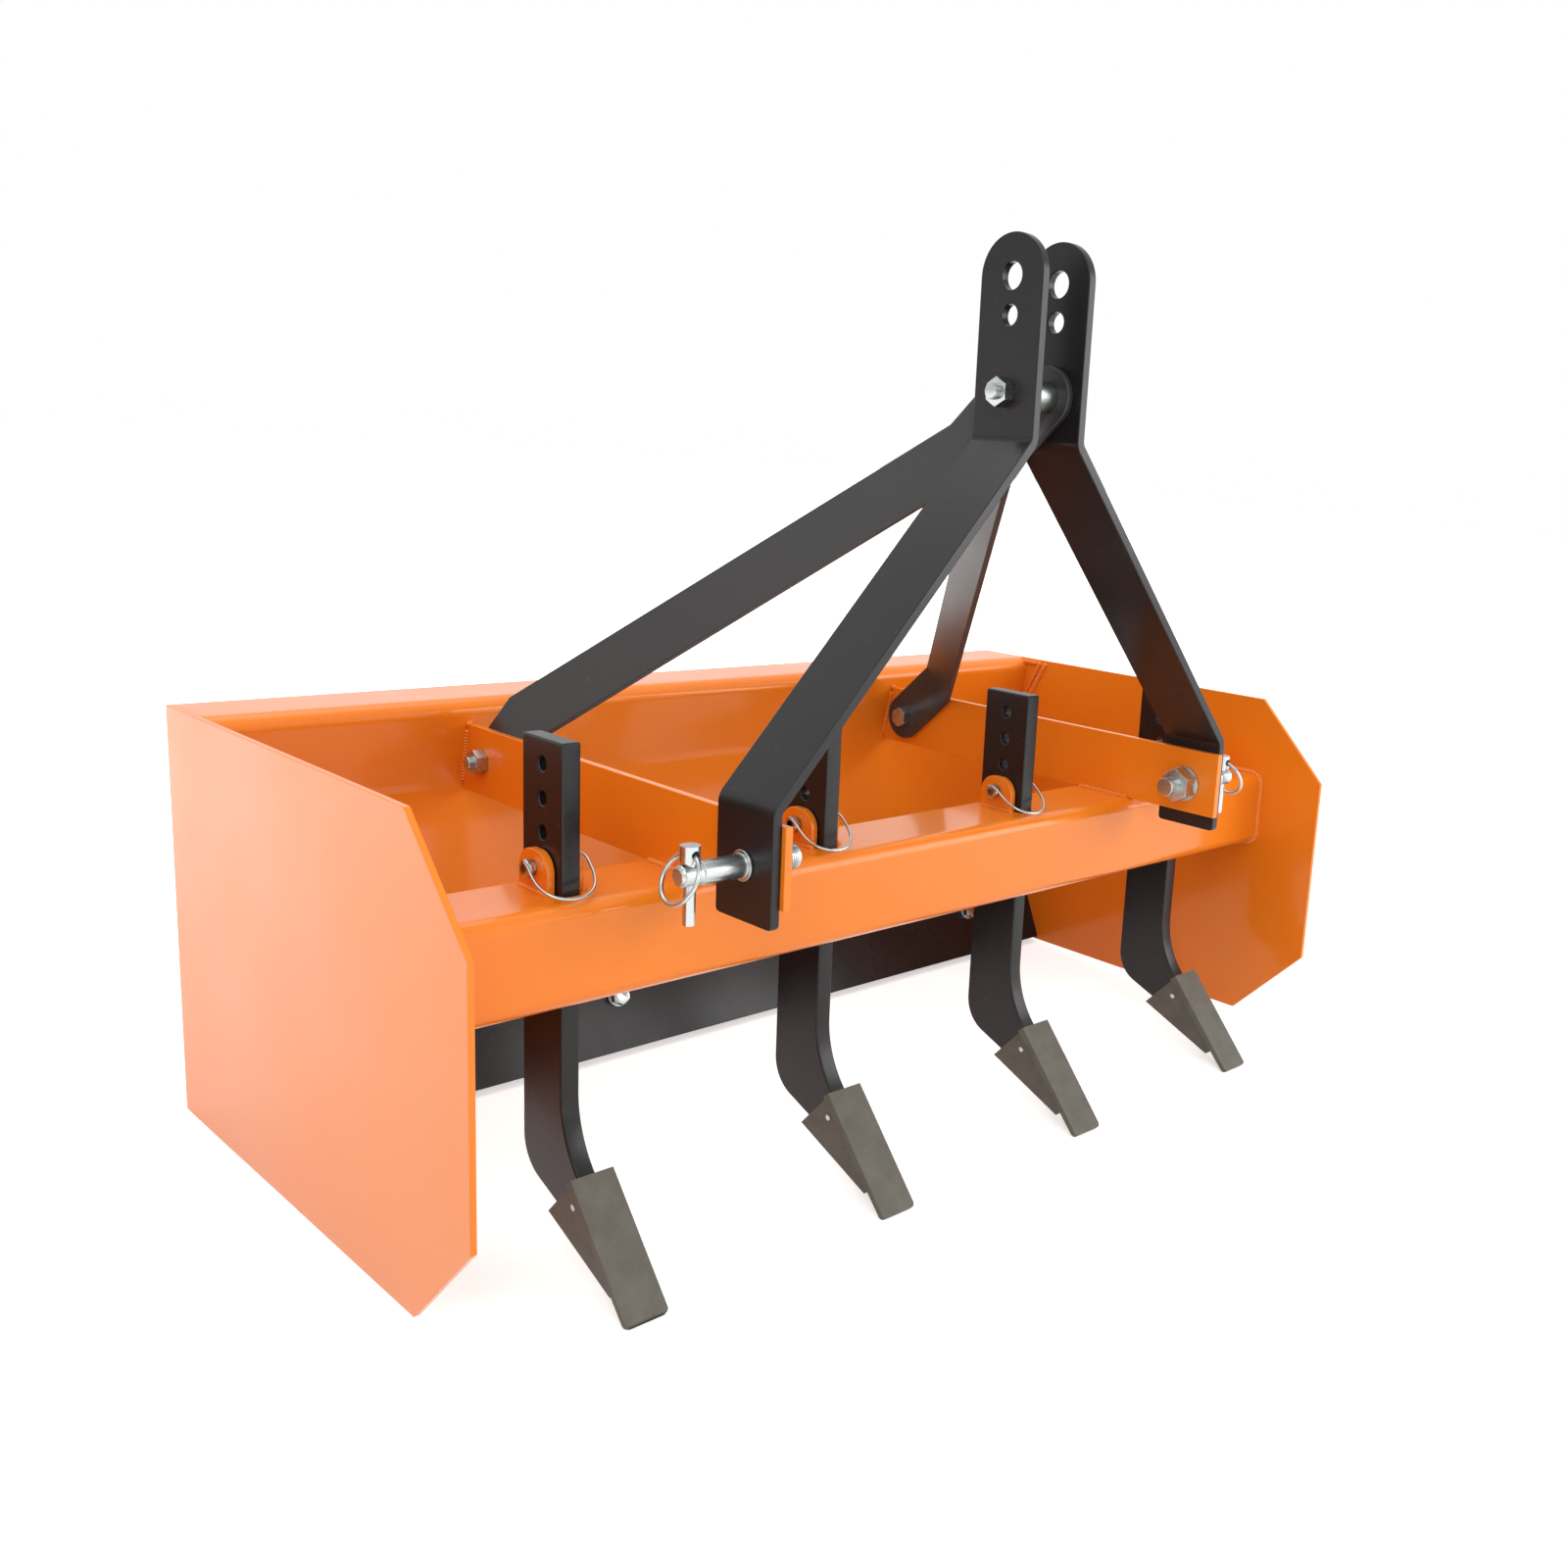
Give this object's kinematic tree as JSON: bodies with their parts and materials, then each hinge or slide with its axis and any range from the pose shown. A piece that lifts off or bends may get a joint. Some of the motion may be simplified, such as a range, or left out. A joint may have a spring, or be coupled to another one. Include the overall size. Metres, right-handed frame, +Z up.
{
  "type": "tractor box blade",
  "caption": "Box blade for a compact tractor's three-point hitch, with ripper shanks pinned in a cross beam ahead of a bolted cutting edge.",
  "frame": {"origin": "centre of the bounding box's bottom face, on the floor it is parked on", "axes": "+X across the width, to the right for someone on the tractor's side who looks at the implement; +Y to the rear, away from the tractor; +Z up"},
  "size_m": [1.219, 0.6548, 0.9648],
  "materials": {
    "orange_paint": "gloss",
    "black_paint": "gloss",
    "tip_casting": "satin",
    "zinc": "satin"
  },
  "bodies": {
    "frame": {"side_panel_left": "orange_paint", "side_panel_right": "orange_paint", "moldboard": "orange_paint", "rear_blade_plate": "orange_paint", "cutting_edge_front": "black_paint", "cutting_edge_rear": "black_paint", "cross_beam": "orange_paint", "hitch_plate_left": "orange_paint", "hitch_plate_right": "orange_paint", "front_strap_left": "black_paint", "front_strap_right": "black_paint", "rear_brace_left": "black_paint", "rear_brace_right": "black_paint", "mast_bolt": "zinc", "mast_spacer": "zinc", "rear_brace_bolt_left": "zinc", "rear_brace_bolt_right": "zinc", "hitch_pin_left": "zinc", "hitch_pin_nut_left": "zinc", "hitch_pin_right": "zinc", "hitch_pin_nut_right": "zinc", "shank_1": "black_paint", "shank_2": "black_paint", "shank_3": "black_paint", "shank_4": "black_paint", "shank_tip_1": "tip_casting", "shank_tip_2": "tip_casting", "shank_tip_3": "tip_casting", "shank_tip_4": "tip_casting", "shank_tab_1_left": "orange_paint", "shank_tab_1_right": "orange_paint", "shank_tab_2_left": "orange_paint", "shank_tab_2_right": "orange_paint", "shank_tab_3_left": "orange_paint", "shank_tab_3_right": "orange_paint", "shank_tab_4_left": "orange_paint", "shank_tab_4_right": "orange_paint", "lock_pin_1": "zinc", "lock_pin_2": "zinc", "lock_pin_3": "zinc", "lock_pin_4": "zinc"},
    "left_lynch_pin": {"lynch_pin_left": "zinc"},
    "left_lynch_ring": {"lynch_ring_left": "zinc"},
    "right_lynch_pin": {"lynch_pin_right": "zinc"},
    "right_lynch_ring": {"lynch_ring_right": "zinc"}
  },
  "joints": [
    {"name": "left_lynch_lift", "type": "slide", "parent": "frame", "child": "left_lynch_pin", "axis": [0, 0.0301, 0.9995], "range_m": [0, 0.08]},
    {"name": "left_ring_swing", "type": "hinge", "parent": "left_lynch_pin", "child": "left_lynch_ring", "pos_m": [-0.3955, -0.28085, 0.40898], "axis": [0, 0.9995, -0.0301], "range_deg": [0, 120]},
    {"name": "right_lynch_lift", "type": "slide", "parent": "frame", "child": "right_lynch_pin", "axis": [0, 0.0301, 0.9995], "range_m": [0, 0.08]},
    {"name": "right_ring_swing", "type": "hinge", "parent": "right_lynch_pin", "child": "right_lynch_ring", "pos_m": [0.3955, -0.28085, 0.40898], "axis": [0, -0.9995, 0.0301], "range_deg": [0, 120]}
  ]
}
